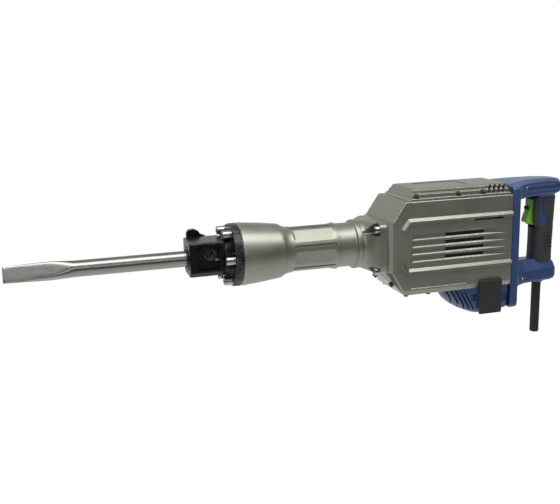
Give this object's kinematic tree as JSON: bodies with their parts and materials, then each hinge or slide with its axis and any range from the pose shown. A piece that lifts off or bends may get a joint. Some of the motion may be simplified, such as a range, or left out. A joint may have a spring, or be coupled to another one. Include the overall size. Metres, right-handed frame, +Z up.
{
  "type": "electric jackhammer",
  "caption": "Electric demolition hammer with a flat chisel, stop lever, crank-driven piston, upright motor, louvred metal housing and D-handle with a trigger.",
  "frame": {"origin": "on the hammering axis at the tool holder's front face", "axes": "+X along the hammering axis from the chisel towards the handle, +Y to the tool's right as its user holds it, +Z up to the top cover"},
  "size_m": [1.115, 0.142, 0.337],
  "materials": {
    "tool_steel": "ground and lightly brushed",
    "black_casting": "black oxide casting, semi-gloss",
    "bright_fastener": "bright zinc",
    "dark_fastener": "black oxide",
    "silver_casting": "die cast, silver-grey metallic paint",
    "machined_steel": "turned and ground",
    "gear_steel": "cut and hardened",
    "seal_rubber": "matt",
    "damper_rubber": "matt urethane",
    "blue_plastic": "moulded, fine texture",
    "charcoal_plastic": "moulded, fine texture",
    "grip_rubber": "moulded, ridged",
    "green_plastic": "moulded",
    "black_plastic": "moulded",
    "copper": "enamelled copper",
    "laminations": "stacked sheet",
    "brass_parts": "pressed",
    "carbon": "pressed carbon",
    "pale_plastic": "glass-filled nylon"
  },
  "bodies": {
    "frame": {"front_cover": "black_casting", "front_bolts": "bright_fastener", "front_washers": "bright_fastener", "tool_sleeve": "machined_steel", "front_seal": "seal_rubber", "bolt_sleeve": "machined_steel", "damper_ring": "damper_rubber", "cylinder_case": "silver_casting", "cylinder_liner": "machined_steel", "case_bolts": "bright_fastener", "main_housing": "silver_casting", "vent_baffles": "black_plastic", "top_cover": "silver_casting", "top_screws": "dark_fastener", "housing_screws": "dark_fastener", "gear_case": "silver_casting", "crank_bearings": "machined_steel", "shaft_bearings": "machined_steel", "motor_housing": "blue_plastic", "stator_core": "laminations", "field_coils": "copper", "tail_cover": "blue_plastic", "tail_screws": "bright_fastener", "brush_holders": "brass_parts", "carbon_brushes": "carbon", "brush_springs": "machined_steel", "brush_covers": "charcoal_plastic", "handle_left": "blue_plastic", "handle_right": "blue_plastic", "grip_rubber": "grip_rubber", "handle_screws": "bright_fastener", "switch_body": "black_plastic", "trigger_pin": "machined_steel", "trigger_spring": "machined_steel", "cord_clamp": "black_plastic", "cord_guard": "seal_rubber"},
    "chisel": {"chisel": "tool_steel"},
    "retainer": {"retainer_lever": "black_casting"},
    "impact_bolt": {"impact_bolt": "machined_steel"},
    "striker": {"striker": "machined_steel", "striker_ring": "seal_rubber"},
    "piston": {"piston": "machined_steel", "piston_ring": "seal_rubber", "gudgeon_pin": "machined_steel"},
    "con_rod": {"con_rod": "machined_steel"},
    "crank": {"crankshaft": "machined_steel", "crank_gear": "gear_steel"},
    "layshaft": {"layshaft": "gear_steel", "layshaft_gear": "gear_steel"},
    "armature": {"armature_shaft": "machined_steel", "armature_core": "laminations", "armature_windings": "copper", "commutator": "copper", "fan": "pale_plastic"},
    "trigger": {"trigger": "green_plastic"},
    "lock_button": {"lock_button": "black_plastic"}
  },
  "joints": [
    {"name": "chisel_slide", "type": "slide", "parent": "frame", "child": "chisel", "axis": [-1, 0, 0], "range_m": [0, 0.025]},
    {"name": "retainer_turn", "type": "hinge", "parent": "frame", "child": "retainer", "pos_m": [0.035, 0, 0.015], "axis": [0, -1, 0], "range_deg": [0, 180]},
    {"name": "impact_bolt_slide", "type": "slide", "parent": "frame", "child": "impact_bolt", "axis": [1, 0, 0], "range_m": [0, 0.012]},
    {"name": "striker_slide", "type": "slide", "parent": "frame", "child": "striker", "axis": [1, 0, 0], "range_m": [0, 0.035]},
    {"name": "piston_slide", "type": "slide", "parent": "frame", "child": "piston", "axis": [-1, 0, 0], "range_m": [0, 0.052]},
    {"name": "con_rod_swing", "type": "hinge", "parent": "piston", "child": "con_rod", "pos_m": [0.4215, 0, 0], "axis": [0, 0, 1], "range_deg": [-15.9, 15.9]},
    {"name": "armature_spin", "type": "hinge", "parent": "frame", "child": "armature", "pos_m": [0.588, 0, 0], "axis": [0, 0, 1], "continuous": true},
    {"name": "layshaft_spin", "type": "hinge", "parent": "frame", "child": "layshaft", "pos_m": [0.5505, 0, 0], "axis": [0, 0, 1], "continuous": true},
    {"name": "crank_spin", "type": "hinge", "parent": "frame", "child": "crank", "pos_m": [0.4905, 0, 0], "axis": [0, 0, 1], "continuous": true},
    {"name": "trigger_pull", "type": "hinge", "parent": "frame", "child": "trigger", "pos_m": [0.738, 0, 0.056], "axis": [0, -1, 0], "range_deg": [0, 10], "stiffness_Nm_per_rad": 0.6, "springref_deg": -22.92},
    {"name": "lock_button_push", "type": "slide", "parent": "trigger", "child": "lock_button", "axis": [1, 0, 0], "range_m": [0, 0.003], "stiffness_N_per_m": 400, "springref_m": -0.002}
  ],
  "couplings": [
    {"joint": "layshaft_spin", "follows": "armature_spin", "ratio": -0.25},
    {"joint": "crank_spin", "follows": "armature_spin", "ratio": 0.083333}
  ]
}
